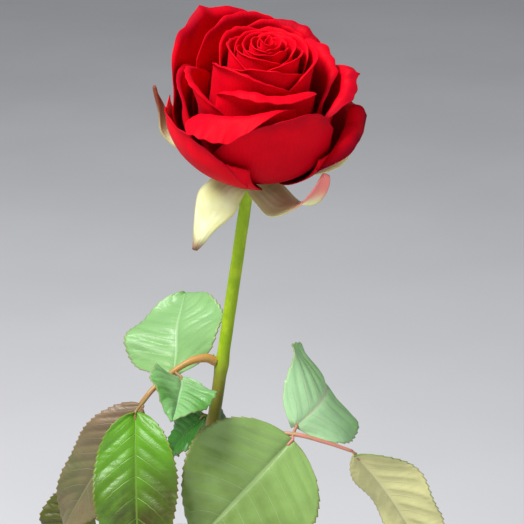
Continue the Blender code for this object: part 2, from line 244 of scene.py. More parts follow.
# A blade's breadth at its base, as a share of the full one, and how its outline leaves base and tip
BLADE_FOOT_SHARE = 0.012
BASE_ROUNDNESS = 0.55
TIP_SHARPNESS = 0.75
TOOTH_LENGTH = 0.0026
TOOTH_DEPTH = 0.0009
TOOTH_LEAN = 1.6
SIDE_VEINS = 8
VEIN_SWEEP = 0.20
VEIN_BEND = 1.25
PUCKER_HEIGHT = 0.0008
PUCKER_MARGIN = 0.25
RIPPLE_HEIGHT = 0.0016
SWAY_HEIGHT = 0.0012
MIDRIB_DEPTH = 0.0006
MIDRIB_WIDTH = 0.0012
PETIOLE_START = 0.0006
PETIOLE_SWELLING = 0.5
PETIOLE_SWELLING_SHARE = 0.12
STALK_RADIUS = 0.0006
STALK_OVERLAP = 0.003
# Each petiole's colours at the stem and at its end
STALK_COLOURS = {
    "left_leaf": ((0.46, 0.22, 0.05), (0.30, 0.16, 0.07)),
    "right_leaf": ((0.40, 0.30, 0.10), (0.55, 0.20, 0.15)),
    "back_leaf": ((0.25, 0.30, 0.05), (0.30, 0.25, 0.06)),
}
Leaf = namedtuple("Leaf", "name node petiole blades")
# A blade: the petiole's point that its stalk leaves from, its base and tip, the way it faces, its
# breadth, the fold along its midrib in degrees, its arch as a share of its length, and its look.
Blade = namedtuple("Blade", "name joint base tip facing breadth fold arch look")
LEFT_LEAFLETS = (
    Blade(
        "upper", 3, (-0.0197, 0.0005, -0.005), (-0.0165, 0.038, 0.017), (-9, -10, 15),
        0.046, 6, 0.05, "light",
    ),
    Blade(
        "inner", 3, (-0.016, -0.0105, -0.0015), (-0.018, -0.04, -0.006), (7, -7, 17),
        0.028, 12, 0.1, "inner",
    ),
    Blade(
        "front", 4, (-0.034, -0.023, -0.011), (-0.032, -0.049, -0.072), (-1, -16, 11),
        0.034, 8, 0.08, "bright",
    ),
    # The side leaflet's grey look is partly a painted grazing reflection.
    Blade(
        "side", 5, (-0.0315, -0.0167, -0.0115), (-0.066, -0.016, -0.068), (-3, -5, 3),
        0.030, 8, 0.05, "grey",
    ),
    Blade(
        "tip", 7, (-0.0595, 0.004, -0.062), (-0.07, 0.006, -0.095), (-3, -7, 5),
        0.030, 8, 0.05, "olive",
    ),
)
RIGHT_LEAFLETS = (
    Blade(
        "front", 3, (0.0352, -0.016, 0.0175), (-0.0035, -0.034, -0.019), (5, -45, 21),
        0.060, 6, 0.04, "mid",
    ),
    # The upper leaflet's pale look is painted light and sheen.
    Blade(
        "upper", 3, (0.037, -0.0085, 0.02), (0.04, 0.029, 0.025), (20, -9, 12),
        0.050, 0, 0.36, "pale",
    ),
    Blade(
        "tip", 5, (0.061, -0.0153, 0.0105), (0.0935, -0.024, -0.04), (7, 16, 10),
        0.036, 14, 0.06, "yellow",
    ),
)
# The back leaflets' dark look is painted shade.
BACK_LEAFLETS = (
    Blade(
        "left", 2, (-0.0035, 0.0148, 0.0025), (-0.0185, 0.026, -0.0206), (-3, -6, 7),
        0.018, 8, 0.05, "dark",
    ),
    Blade(
        "tip", 3, (0, 0.029, -0.0075), (0.003, 0.056, -0.042), (0, 3, 4),
        0.026, 8, 0.10, "dark",
    ),
    Blade(
        "right", 2, (0.0015, 0.015, 0.001), (0.019, 0.031, -0.029), (5, 1, 8),
        0.022, 8, 0.08, "dark",
    ),
)
LEFT_PETIOLE = (
    (-0.0064, -0.0020, 0.0034),
    (-0.0124, -0.0040, 0.0029),
    (-0.0192, -0.0070, -0.0002),
    (-0.0263, -0.0120, -0.0046),
    (-0.0324, -0.0140, -0.0116),
    (-0.0474, -0.0040, -0.0372),
    (-0.0589, 0.0030, -0.0605),
)
RIGHT_PETIOLE = (
    (0.0070, -0.0040, 0.0100),
    (0.0205, -0.0090, 0.0160),
    (0.0354, -0.0130, 0.0185),
    (0.0484, -0.0150, 0.0159),
    (0.0594, -0.0155, 0.0121),
)
BACK_PETIOLE = (
    (-0.0010, 0.0070, 0.0030),
    (-0.0010, 0.0150, 0.0020),
    (0.0000, 0.0270, -0.0060),
)
LEAVES = (
    Leaf("left_leaf", UPPER_NODE, LEFT_PETIOLE, LEFT_LEAFLETS),
    Leaf("right_leaf", LOWER_NODE, RIGHT_PETIOLE, RIGHT_LEAFLETS),
    Leaf("back_leaf", MIDDLE_NODE, BACK_PETIOLE, BACK_LEAFLETS),
)

# Stage and camera
FLOOR_REACH = 4.0
LIT_POINT = (0.02, 0, 0.3)
SKY_COLOUR = (0.80, 0.82, 0.86, 1)
SKY_STRENGTH = 0.34
VIEW_CENTRE = (0.0346, 0, 0.295)
VIEW_ELEVATION = 20
VIEW_DISTANCE = 0.65
VIEW_WIDTH = 0.2096
SENSOR_WIDTH = 36


# Shapes


def between(start, end, share):
    return start + (end - start) * share


def smooth(share):
    share = min(1, max(0, share))
    return share * share * (3 - 2 * share)


def make_piece(name, node, mesh, materials, transform=None):
    piece = bpy.data.objects.new(name, mesh)
    bpy.context.scene.collection.objects.link(piece)
    for material in materials:
        mesh.materials.append(material)
    mesh.shade_smooth()
    if transform:
        piece.matrix_world = transform
    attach(piece, "root")
    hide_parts(node)
    return piece


def grid_faces(columns, rows, closed=False):
    """Faces over rows of points, each columns + 1 long, or columns long where a row is a closed ring."""
    width = columns if closed else columns + 1
    faces = []
    for row in range(rows):
        for column in range(columns):
            here, beside = row * width + column, row * width + (column + 1) % width
            faces.append((here, beside, beside + width, here + width))
    return faces


def add_attribute(mesh, name, values):
    attribute = mesh.attributes.new(name, "FLOAT", "POINT")
    attribute.data.foreach_set("value", np.array(values, np.float32))


def sheet_mesh(name, columns, rows, points, row_shares=None):
    """A sheet of points, row by row, that knows each point's place along it and across it."""
    if row_shares is None:
        row_shares = np.linspace(0, 1, rows + 1)
    mesh = bpy.data.meshes.new(name)
    mesh.from_pydata(points, [], grid_faces(columns, rows))
    add_attribute(mesh, "along", np.repeat(row_shares, columns + 1))
    add_attribute(mesh, "across", np.tile(np.linspace(-1, 1, columns + 1), rows + 1))
    return mesh


def thicken(piece, thickness, under=0):
    solid = piece.modifiers.new("thickness", "SOLIDIFY")
    solid.thickness = thickness
    solid.offset = 0
    solid.material_offset = under


def turned_mesh(name, outline, segments):
    """The solid that an outline of (radius, height) points, both ends on the axis, sweeps about Z."""
    rings = outline[1:-1]
    points = []
    for radius, height in rings:
        points += [(radius * cos(turn), radius * sin(turn), height) for turn in ring_turns(segments)]
    faces = grid_faces(segments, len(rings) - 1, closed=True)
    bottom, top = len(points), len(points) + 1
    last = (len(rings) - 1) * segments
    for segment in range(segments):
        beside = (segment + 1) % segments
        faces.append((bottom, beside, segment))
        faces.append((last + segment, last + beside, top))
    points += [(0, 0, outline[0][1]), (0, 0, outline[-1][1])]
    mesh = bpy.data.meshes.new(name)
    mesh.from_pydata(points, [], faces)
    return mesh


def ring_turns(segments):
    return [2 * pi * segment / segments for segment in range(segments)]


def along_run(run, shares):
    """Points at these shares of a polyline's length."""
    run = np.array(run)
    steps = np.linalg.norm(np.diff(run, axis=0), axis=1)
    reached = np.concatenate([[0], np.cumsum(steps)]) / steps.sum()
    places = [np.interp(shares, reached, run[:, axis]) for axis in range(run.shape[1])]
    return np.stack(places, axis=1)


def curve_through(points, steps):
    """A smooth run through the points, by Catmull-Rom."""
    points = [Vector(point) for point in points]
    ends = [2 * points[0] - points[1], *points, 2 * points[-1] - points[-2]]
    run = []
    for before, start, end, after in zip(ends, ends[1:], ends[2:], ends[3:]):
        for step in range(steps):
            t = step / steps
            run.append(
                0.5
                * (
                    2 * start
                    + (end - before) * t
                    + (2 * before - 5 * start + 4 * end - after) * t**2
                    + (3 * start - before - 3 * end + after) * t**3
                )
            )
    return run + [points[-1]]


def tube_shape(run, radius_at, sides):
    """The points, faces and shares along of a tube with blunt ends and the radius radius_at(share, turn)."""
    end_scale = 0.6
    lengths = [0]
    for before, after in zip(run, run[1:]):
        lengths.append(lengths[-1] + (after - before).length)
    # No run here sets off this way, so the first ring's sides can be measured from it.
    sideways = Vector((0.3, 1, 0.2))
    last = len(run) - 1
    points, along = [], []
    for number, point in enumerate(run):
        direction = (run[min(number + 1, last)] - run[max(number - 1, 0)]).normalized()
        sideways = (sideways - direction * sideways.dot(direction)).normalized()
        other = direction.cross(sideways)
        share = lengths[number] / lengths[-1]
        scales = [1]
        if number == 0:
            scales = [end_scale, 1]
        if number == last:
            scales = [1, end_scale]
        for scale in scales:
            outward = (1 if number else -1) * (1 - scale) * radius_at(share, 0) / 2
            for turn in ring_turns(sides):
                radius = radius_at(share, turn) * scale
                around = sideways * radius * cos(turn) + other * radius * sin(turn)
                points.append(point + direction * outward + around)
                along.append(share)
    rows = len(points) // sides - 1
    faces = grid_faces(sides, rows, closed=True)
    faces.append(tuple(reversed(range(sides))))
    faces.append(tuple(rows * sides + side for side in range(sides)))
    return points, faces, along


def joined_mesh(name, shapes):
    """One mesh of several (points, faces, along) shapes."""
    points, faces, along = [], [], []
    for more_points, more_faces, more_along in shapes:
        faces += [tuple(corner + len(points) for corner in face) for face in more_faces]
        points += more_points
        along += more_along
    mesh = bpy.data.meshes.new(name)
    mesh.from_pydata(points, [], faces)
    add_attribute(mesh, "along", along)
    return mesh


# Materials


class Shading:
    """A Principled material and short calls for the nodes that feed it."""

    def __init__(self, name, roughness, **constants):
        """Each constant is a socket of the shader, with _ for a space, and its value."""
        self.material = bpy.data.materials.new(name)
        self.material.use_nodes = True
        self.tree = self.material.node_tree
        self.shader = self.tree.nodes["Principled BSDF"]
        self.shader.inputs["Roughness"].default_value = roughness
        for socket, value in constants.items():
            self.shader.inputs[socket.replace("_", " ")].default_value = value

    def node(self, kind, inputs=(), **settings):
        made = self.tree.nodes.new(kind)
        for setting, value in settings.items():
            setattr(made, setting, value)
        for socket, value in dict(inputs).items():
            if isinstance(value, bpy.types.NodeSocket):
                self.tree.links.new(value, made.inputs[socket])
            else:
                made.inputs[socket].default_value = value
        return made

    def attribute(self, name):
        return self.node("ShaderNodeAttribute", attribute_name=name).outputs["Fac"]

    def math(self, operation, *values):
        return self.node("ShaderNodeMath", enumerate(values), operation=operation).outputs[0]

    def steps(self, value, low, high, first=0.0, last=1.0):
        """Goes smoothly from first to last as the value goes from low to high."""
        inputs = {"Value": value, "From Min": low, "From Max": high, "To Min": first, "To Max": last}
        return self.node("ShaderNodeMapRange", inputs, interpolation_type="SMOOTHSTEP").outputs[0]

    def place(self):
        return self.node("ShaderNodeTexCoord").outputs["Object"]

    def noise(self, scale, detail=3.0, roughness=0.55):
        inputs = {"Vector": self.place(), "Scale": scale, "Detail": detail, "Roughness": roughness}
        return self.node("ShaderNodeTexNoise", inputs).outputs["Fac"]

    def mix(self, share, first, second):
        """Mixes two colours, each a socket or three numbers, by the share's socket."""
        factor, start, end = 0, 6, 7
        inputs = {factor: share}
        for socket, colour in ((start, first), (end, second)):
            inputs[socket] = colour if isinstance(colour, bpy.types.NodeSocket) else (*colour, 1)
        return self.node("ShaderNodeMix", inputs, data_type="RGBA").outputs[2]

    def feed(self, socket, value):
        self.tree.links.new(value, self.shader.inputs[socket])

    def bump(self, height, strength, distance):
        inputs = {"Height": height, "Strength": strength, "Distance": distance}
        self.feed("Normal", self.node("ShaderNodeBump", inputs).outputs["Normal"])


def petal_material():
    """Deep velvet red: brighter towards the lip, dark purple on old edges, veined up the petal."""
    root_red, lip_red = (0.24, 0.0, 0.004), (0.74, 0.0, 0.010)
    blotch_red, worn_purple = (0.42, 0.0, 0.008), (0.12, 0.002, 0.014)
    sheen_pink = (1.0, 0.12, 0.28, 1)
    look = Shading(
        "petal_velvet",
        0.6,
        Specular_IOR_Level=0.05,
        Sheen_Weight=0.04,
        Sheen_Roughness=0.5,
        Sheen_Tint=sheen_pink,
    )
    along, across, age = look.attribute("along"), look.attribute("across"), look.attribute("age")
    red = look.mix(look.steps(along, 0.10, 0.85), root_red, lip_red)
    mottled = look.mix(look.steps(look.noise(90), 0.35, 0.75, 0.0, 0.35), red, blotch_red)
    worn = look.math("ADD", along, look.math("MULTIPLY", look.noise(75, 2.0), 0.25))
    old = look.math("MULTIPLY", look.steps(worn, 1.0, 1.12), age)
    look.feed("Base Color", look.mix(old, mottled, worn_purple))
    veins = look.math("SINE", look.math("MULTIPLY", across, 95.0))
    grain = look.math("ADD", look.math("MULTIPLY", veins, 0.25), look.noise(1400, 2.0))
    look.bump(grain, 0.25, 0.0002)
    return look.material


# Each leaflet's look: its green near the base and near the tip, its veins and its underside.
LEAF_LOOKS = {
    "light": ((0.17, 0.33, 0.11), (0.19, 0.37, 0.14), (0.33, 0.50, 0.26), (0.34, 0.44, 0.24)),
    "inner": ((0.22, 0.42, 0.18), (0.09, 0.27, 0.05), (0.38, 0.56, 0.32), (0.34, 0.44, 0.24)),
    "bright": ((0.09, 0.26, 0.010), (0.045, 0.04, 0.004), (0.14, 0.26, 0.03), (0.22, 0.30, 0.10)),
    # Painted reflection: the grey look's greyish brown is partly the blade's own brown and partly a painted
    # grazing sheen.
    "grey": ((0.18, 0.12, 0.07), (0.11, 0.115, 0.045), (0.22, 0.22, 0.12), (0.34, 0.26, 0.18)),
    "olive": ((0.08, 0.09, 0.010), (0.05, 0.055, 0.006), (0.13, 0.14, 0.03), (0.16, 0.18, 0.08)),
    "mid": ((0.20, 0.33, 0.09), (0.15, 0.24, 0.05), (0.33, 0.47, 0.19), (0.34, 0.44, 0.24)),
    # Painted light: the pale look is brightened to paint on the lit, waxy sheen of a leaflet that faces away
    # from the lamps.
    "pale": ((0.44, 0.74, 0.38), (0.30, 0.64, 0.22), (0.70, 0.66, 0.48), (0.10, 0.34, 0.08)),
    "yellow": ((0.10, 0.32, 0.06), (0.14, 0.34, 0.08), (0.30, 0.48, 0.20), (0.52, 0.51, 0.24)),
    # Painted shade: the dark look's deep greens paint the shade that the back leaf hangs in behind the stem.
    "dark": ((0.03, 0.19, 0.010), (0.03, 0.14, 0.012), (0.10, 0.26, 0.04), (0.12, 0.22, 0.08)),
}


def leaf_material(kind, side):
    """One side of a blade: a waxy green with paler veins, or a duller underside with raised ones."""
    near, far, vein, under = LEAF_LOOKS[kind]
    edge_brown = (0.35, 0.16, 0.06)
    roughness, gloss, raised = (0.40, 0.4, -1.0) if side == "upper" else (0.6, 0.2, 1.0)
    look = Shading(f"leaf_{kind}_{side}", roughness, Specular_IOR_Level=gloss)
    along = look.attribute("along")
    out = look.math("ABSOLUTE", look.attribute("across"))
    sweep = look.math("MULTIPLY", look.math("POWER", out, VEIN_BEND), VEIN_SWEEP)
    phase = look.math("MULTIPLY", look.math("SUBTRACT", along, sweep), float(SIDE_VEINS))
    lateral = look.math("ABSOLUTE", look.math("SUBTRACT", look.math("FRACT", phase), 0.5))
    side_vein = look.math("MULTIPLY", look.steps(lateral, 0.46, 0.50), look.steps(out, 0.98, 0.3))
    veins = look.math("MAXIMUM", side_vein, look.steps(out, 0.05, 0.015))
    if side == "under":
        near = far = under
        vein = tuple(between(shade, 1, 0.12) for shade in under)
    blade = look.mix(look.steps(along, 0.1, 0.6), near, far)
    paler = tuple(1.3 * shade for shade in near)
    patchy = look.mix(look.steps(look.noise(70), 0.3, 0.7, 0.0, 0.5), blade, paler)
    edged = look.mix(look.steps(out, 0.95, 1.0, 0.0, 0.3), patchy, edge_brown)
    look.feed("Base Color", look.mix(look.math("MULTIPLY", veins, 0.6), edged, vein))
    cells = {"Vector": look.place(), "Scale": 900.0}
    net = look.node("ShaderNodeTexVoronoi", cells, feature="DISTANCE_TO_EDGE").outputs["Distance"]
    relief = look.math("MULTIPLY", veins, raised)
    look.bump(look.math("ADD", relief, look.math("MULTIPLY", net, 0.6)), 0.5, 0.0003)
    return look.material


def stem_material():
    """Clouded yellow green above the upper leaf node, and olive and brown below it."""
    greens = ((0.25, 0.40, 0.006), (0.36, 0.50, 0.015))
    browns = ((0.16, 0.17, 0.02), (0.26, 0.17, 0.04))
    look = Shading("stem_skin", 0.45, Specular_IOR_Level=0.25)
    top, low = (look.mix(look.steps(look.noise(160), 0.35, 0.7), *pair) for pair in (greens, browns))
    look.feed("Base Color", look.mix(look.steps(look.attribute("along"), 0.78, 0.70), top, low))
    look.bump(look.noise(420, 4.0, 0.6), 0.25, 0.0003)
    return look.material


def stalk_material(name, first, last):
    blotch_green = (0.20, 0.24, 0.05)
    look = Shading(name, 0.45)
    base = look.mix(look.steps(look.attribute("along"), 0.15, 0.8), first, last)
    blotches = look.steps(look.noise(300), 0.4, 0.7, 0.0, 0.5)
    look.feed("Base Color", look.mix(blotches, base, blotch_green))
    look.bump(look.noise(900), 0.3, 0.0002)
    return look.material


# Each sepal tip's colour, and the shares of the length between which it takes over.
SEPAL_TIPS = {
    "pink": ((0.85, 0.26, 0.22), 0.60, 0.85),
    "brown": ((0.26, 0.12, 0.08), 0.84, 1.0),
    "red": ((0.20, 0.06, 0.03), 0.30, 0.90),
    "green": ((0.24, 0.30, 0.08), 0.30, 1.0),
    "pale": ((0.66, 0.56, 0.34), 0.50, 1.0),
}


def sepal_material(tip):
    """Pale yellow green, darker at the edges and streaked lengthwise, with the tip in its own colour."""
    yellow_green, cream, edge_olive = (0.72, 0.72, 0.32), (0.82, 0.82, 0.50), (0.60, 0.56, 0.24)
    look = Shading(f"sepal_{tip}", 0.6, Specular_IOR_Level=0.2)
    colour, first, last = SEPAL_TIPS[tip]
    across = look.attribute("across")
    pale = look.mix(look.steps(look.noise(120), 0.3, 0.75), yellow_green, cream)
    edge = look.steps(look.math("ABSOLUTE", across), 0.75, 1.0, 0.0, 0.5)
    tip_share = look.steps(look.attribute("along"), first, last)
    look.feed("Base Color", look.mix(tip_share, look.mix(edge, pale, edge_olive), colour))
    streaks = look.math("MULTIPLY", look.math("SINE", look.math("MULTIPLY", across, 22.0)), 0.3)
    look.bump(look.math("ADD", streaks, look.noise(1100)), 0.4, 0.0003)
    return look.material


def glaze_material():
    """Off-white glaze: slight warm clouds, a soft gloss and a barely uneven surface."""
    off_white, warm_white = (0.78, 0.77, 0.72), (0.70, 0.68, 0.62)
    look = Shading("vase_glaze", 0.2, Coat_Weight=0.5, Coat_Roughness=0.08)
    clouds = look.steps(look.noise(28, 4.0), 0.3, 0.75)
    look.feed("Base Color", look.mix(clouds, off_white, warm_white))
    look.feed("Roughness", look.steps(look.noise(60), 0.2, 0.8, 0.16, 0.32))
    look.bump(look.noise(45), 0.12, 0.0008)
    return look.material


def floor_material():
    grey, pale_grey = (0.62, 0.62, 0.64), (0.66, 0.66, 0.68)
    look = Shading("floor", 0.9)
    look.feed("Base Color", look.mix(look.steps(look.noise(3.0), 0.3, 0.7), grey, pale_grey))
    return look.material


# Vase and stem


def vase_radius(height):
    if height < BODY_HEIGHT:
        return between(FOOT_RADIUS, BODY_RADIUS, sin(pi / 2 * height / BODY_HEIGHT))
    if height < NECK_HEIGHT:
        share = (height - BODY_HEIGHT) / (NECK_HEIGHT - BODY_HEIGHT)
        return between(NECK_RADIUS, BODY_RADIUS, (1 + cos(pi * share)) / 2)
    share = (height - NECK_HEIGHT) / (VASE_HEIGHT - NECK_HEIGHT)
    return NECK_RADIUS + RIM_FLARE * share**2


def add_vase():
    """The bottle's outline runs up its outside, over the round rim and down its inside to the floor."""
    edge = VASE_WALL / 2
    top = VASE_HEIGHT - edge
    heights = [between(FOOT_BEVEL, top, step / VASE_STEPS) for step in range(VASE_STEPS)]
    bevel = [
        (FOOT_RADIUS - FOOT_BEVEL * (1 - sin(turn)), FOOT_BEVEL * (1 - cos(turn)))
        for turn in (pi / 2 * step / 5 for step in range(5))
    ]
    outside = [(vase_radius(height), height) for height in heights]
    rim = [
        (vase_radius(VASE_HEIGHT) - edge * (1 - cos(turn)), top + edge * sin(turn))
        for turn in (pi * step / 12 for step in range(13))
    ]
    inner = [height for height in reversed(heights) if height > VASE_FLOOR + FLOOR_FILLET]
    inside = [(vase_radius(height) - VASE_WALL, height) for height in inner]
    inward, upward = FILLET_MIDDLE
    fillet = (vase_radius(VASE_FLOOR) - VASE_WALL - inward, VASE_FLOOR + upward)
    floor = [(FLOOR_FLAT_RADIUS, VASE_FLOOR), (0, VASE_FLOOR)]
    outline = [(0, 0), *bevel, *outside, *rim, *inside, fillet, *floor]
    mesh = turned_mesh("vase_glazed", outline, VASE_SEGMENTS)
    make_piece("vase_glazed", "vase", mesh, [glaze_material()])


def stem_line():
    """The foot of the stem's axis and its direction, as it stands in the vase and leans on its rim."""
    foot_x = STEM_FOOT_RADIUS + GAP + VASE_WALL - vase_radius(VASE_FLOOR)
    rim_x = vase_radius(VASE_HEIGHT) - VASE_WALL - 2 * GAP - STEM_FOOT_RADIUS
    direction = Vector((rim_x - foot_x, 0, VASE_HEIGHT - VASE_FLOOR)).normalized()
    return Vector((foot_x, 0, VASE_FLOOR + GAP + STEM_FOOT_RADIUS * direction.x)), direction


def stem_place(distance):
    foot, direction = stem_line()
    return foot + direction * distance


def bloom_frame():
    """The transform from the bloom's own frame, then the stem's end and the way that the bloom faces.

    The frame starts where the hip is widest, and its +Z runs up the bloom.
    """
    turn = Euler((radians(BLOOM_NOD), radians(BLOOM_LEAN), 0), "XYZ").to_matrix()
    up = turn @ Vector((0, 0, 1))
    end = stem_place(STEM_LENGTH - STEM_BEND) + (stem_line()[1] + up) * STEM_BEND / 2
    return Matrix.Translation(end + up * (HIP_DEPTH + GAP)) @ turn.to_4x4(), end, up


def stem_radius(share, turn):
    around = Vector((share * 40, cos(turn), sin(turn)))
    swelling = STEM_UNEVENNESS * noise.noise(around)
    for node in (LOWER_NODE, MIDDLE_NODE, UPPER_NODE):
        swelling += NODE_SWELLING * exp(-(((share * STEM_LENGTH - node) / NODE_LENGTH) ** 2))
    return between(STEM_FOOT_RADIUS, STEM_TOP_RADIUS, share) * (1 + swelling)


def bud_shape():
    """A small pointed bud that bends up from the upper node."""
    side = stem_line()[1].cross(Vector((0, 1, 0))).normalized()
    up = Vector((0, 0, 1))
    foot = stem_place(UPPER_NODE) + BUD_RADIUS * side
    middle = foot + BUD_LENGTH * (0.6 * side + 0.48 * up)
    tip = foot + BUD_LENGTH * (0.7 * side + 1.1 * up)
    run = curve_through([foot, middle, tip], 6)
    points, faces, along = tube_shape(run, lambda share, turn: BUD_RADIUS * (1 - 0.75 * share**2), 14)
    return points, faces, [UPPER_NODE / STEM_LENGTH] * len(along)


def add_stem():
    _, end, up = bloom_frame()
    knots = [stem_place(knot) for knot in (*STEM_KNOTS, STEM_LENGTH - STEM_BEND)]
    run = curve_through([*knots, end - up * STEM_BEND / 4, end], 12)
    mesh = joined_mesh("stem_green", [tube_shape(run, stem_radius, STEM_SIDES), bud_shape()])
    make_piece("stem_green", "stem", mesh, [stem_material()])


# Bloom


def add_hip(transform):
    knots = [(STEM_TOP_RADIUS * 1.1, -HIP_DEPTH, 0)]
    knots += [(HIP_RADIUS * out, HIP_DEPTH * up, 0) for out, up in HIP_OUTLINE]
    knots += [(HIP_RADIUS * 0.90, HIP_CONE_HEIGHT * 0.10, 0), (HIP_CONE_RADIUS, HIP_CONE_HEIGHT, 0)]
    side = [(point.x, point.y) for point in curve_through(knots, 6)]
    mesh = turned_mesh("hip_green", [(0, -HIP_DEPTH), *side, (0, HIP_CONE_HEIGHT)], HIP_SEGMENTS)
    add_attribute(mesh, "along", [1.0] * len(mesh.vertices))
    make_piece("hip_green", "hip", mesh, [bpy.data.materials["stem_skin"]], transform)


def petal_run(index, belly, mouth, lip):
    """The run from root to margin as (radius, height): a bowl, a wall, an outward roll and a tail."""
    shortest_tail = 1e-6
    last = len(OUTER_PETALS) + HEART_PETALS - 1
    root_height = (HIP_CONE_HEIGHT + 2 * GAP) * index / (last - 1)
    cone_radius = between(HIP_RADIUS, HIP_CONE_RADIUS, root_height / HIP_CONE_HEIGHT)
    root = min(cone_radius + 2 * GAP, belly - GAP)
    turns = np.linspace(0, pi / 2, RUN_STEPS)
    bowl = [between(root, belly, np.sin(turns)), between(BELLY_HEIGHT, root_height, np.cos(turns))]
    shares = np.linspace(0, 1, RUN_STEPS)[1:]
    swing = (1 - np.cos(pi * shares)) / 2
    wall = [between(belly, mouth, swing), between(BELLY_HEIGHT, lip.height, shares)]
    turns = radians(lip.roll_angle) * np.linspace(0, 1, ROLL_STEPS)[1:]
    out, up = lip.roll_radius * (1 - np.cos(turns)), lip.roll_radius * np.sin(turns)
    tail = max(lip.tail, shortest_tail)
    roll = [np.append(mouth + out, mouth + out[-1] + tail * sin(turns[-1]))]
    roll += [np.append(lip.height + up, lip.height + up[-1] + tail * cos(turns[-1]))]
    return np.concatenate([bowl, wall, roll], axis=1).T


def petal_lip(index, petal, across):
    """The petal's lip at this place across it: a petal's height, roll and tail, made uneven."""
    out = abs(across)
    uneven = noise.noise(Vector((5 * across, 2 * index, 0)))
    point = petal.point * max(0, 1 - out / POINT_WIDTH) ** POINT_SHARPNESS
    height = petal.height - petal.fall * out**FALL_SHARPNESS + petal.rise * across + point
    height += LIP_WAVE * sin(5.0 * across + 2.1 * index) + LIP_UNEVENNESS * uneven
    tail = petal.tail * (1 - out**6)
    if petal.tail_side:
        tail *= smooth((0.85 + across * petal.tail_side) / 0.7)
    return petal._replace(
        height=height,
        roll_radius=petal.roll_radius * (1 - EDGE_ROLL_LOSS * out**2),
        roll_angle=petal.roll_angle * (1 - EDGE_TURN_LOSS * out**3) * (1 + TURN_UNEVENNESS * uneven),
        tail=tail,
    )


def petal_points(index, petal, belly, step):
    """The petal's sheet, row by row from its root, with each row's share of the run."""
    rows = 1 - (1 - np.linspace(0, 1, PETAL_ROWS + 1)) ** TOP_CROWDING
    opening = np.sin(pi / 2 * np.minimum(1, rows / CLAW_SHARE))
    half_width = between(CLAW_WIDTH, belly * radians(petal.wrap), opening)
    points = np.zeros((PETAL_ROWS + 1, PETAL_COLUMNS + 1, 3))
    for column in range(PETAL_COLUMNS + 1):
        across = 2 * column / PETAL_COLUMNS - 1
        mouth = belly + petal.flare * (1 - across**2)
        run = along_run(petal_run(index, belly, mouth, petal_lip(index, petal, across)), rows)
        radius, heights = run[:, 0], run[:, 1]
        angle = across * np.minimum(half_width / radius, radians(CENTRE_WRAP))
        tucked = radius - SPIRAL * step * opening * np.degrees(angle) / GOLDEN_ANGLE
        turned = radians(petal.turn) + angle
        for row, share in enumerate(rows):
            dimple = noise.noise(Vector((3 * across, 6 * share, 5 * index)))
            tucked[row] += SURFACE_UNEVENNESS * dimple * share
        points[:, column] = np.stack([tucked * np.cos(turned), tucked * np.sin(turned), heights], 1)
    return points, rows


def add_petal(index, petal, belly, step, transform, material):
    points, rows = petal_points(index, petal, belly, step)
    name = f"petal_{index + 1:02d}"
    mesh = sheet_mesh(f"{name}_velvet", PETAL_COLUMNS, PETAL_ROWS, points.reshape(-1, 3), rows)
    add_attribute(mesh, "age", np.full(len(mesh.vertices), petal.age))
    piece = make_piece(f"{name}_velvet", name, mesh, [material], transform)
    thicken(piece, PETAL_THICKNESS)


def add_petals(transform):
    material = petal_material()
    outer = len(OUTER_PETALS)
    outer_step = (BLOOM_RADIUS - HEART_RADIUS) / (outer - 1)
    for index, petal in enumerate(OUTER_PETALS):
        belly = BLOOM_RADIUS - outer_step * index
        add_petal(index, petal, belly, outer_step, transform, material)
    heart_step = (HEART_RADIUS - CENTRE_RADIUS) / HEART_PETALS
    for number in range(1, HEART_PETALS + 1):
        index = outer + number - 1
        share = number / HEART_PETALS
        turn = FIRST_TURN + GOLDEN_ANGLE * index
        wrap = between(HEART_WRAP, CENTRE_WRAP, share)
        height = between(HEART_LIP_HEIGHT, CENTRE_LIP_HEIGHT, share)
        height += HEART_LIP_WAVE * sin(2.4 * index)
        fall = between(HEART_FALL, CENTRE_FALL, share)
        roll_radius = between(HEART_ROLL_RADIUS, CENTRE_ROLL_RADIUS, share)
        petal = Petal(turn, wrap, height, fall, roll_radius, HEART_ROLL_ANGLE, 0, 0, 0, 0, 0, 0)
        belly = HEART_RADIUS - heart_step * number
        add_petal(index, petal, belly, heart_step, transform, material)


def sepal_run(sepal):
    path = []
    for turn, share, height in sepal.path:
        radius = between(HIP_RADIUS, BLOOM_RADIUS, share)
        path.append((radius * cos(radians(turn)), radius * sin(radians(turn)), height))
    return curve_through(path, SEPAL_STEPS)


def sepal_points(sepal, run):
    """The sepal's sheet, row by row from its foot: wavy at the edges and cupped towards the bloom."""
    rows = len(run) - 1
    points = []
    for row, place in enumerate(run):
        share = row / rows
        ahead = (run[min(row + 1, rows)] - run[max(row - 1, 0)]).normalized()
        sideways = Vector((-place.y, place.x, 0)).normalized()
        inward = ahead.cross(sideways).normalized()
        bulge = sin(pi * between(SEPAL_END_SHARE, 1, share)) ** sepal.sharpness
        half_width = sepal.breadth / 2 * between(SEPAL_END_SHARE, 1, bulge)
        half_width *= 1 + SEPAL_EDGE_WAVE * sin(14 * share)
        for column in range(SEPAL_COLUMNS + 1):
            side = 2 * column / SEPAL_COLUMNS - 1
            cup = half_width * SEPAL_CUP * side**2 + SEPAL_RIPPLE * sin(11 * share + 3 * side)
            points.append(place + sideways * side * half_width - inward * cup)
    return points


def add_sepals(transform):
    for sepal in SEPALS:
        run = sepal_run(sepal)
        rows = len(run) - 1
        mesh = sheet_mesh(f"{sepal.node}_downy", SEPAL_COLUMNS, rows, sepal_points(sepal, run))
        material = bpy.data.materials.get(f"sepal_{sepal.tip}") or sepal_material(sepal.tip)
        piece = make_piece(f"{sepal.node}_downy", sepal.node, mesh, [material], transform)
        thicken(piece, SEPAL_SHEET_THICKNESS)


def add_bloom():
    transform, _, _ = bloom_frame()
    add_hip(transform)
    add_sepals(transform)
    add_petals(transform)


# Leaves


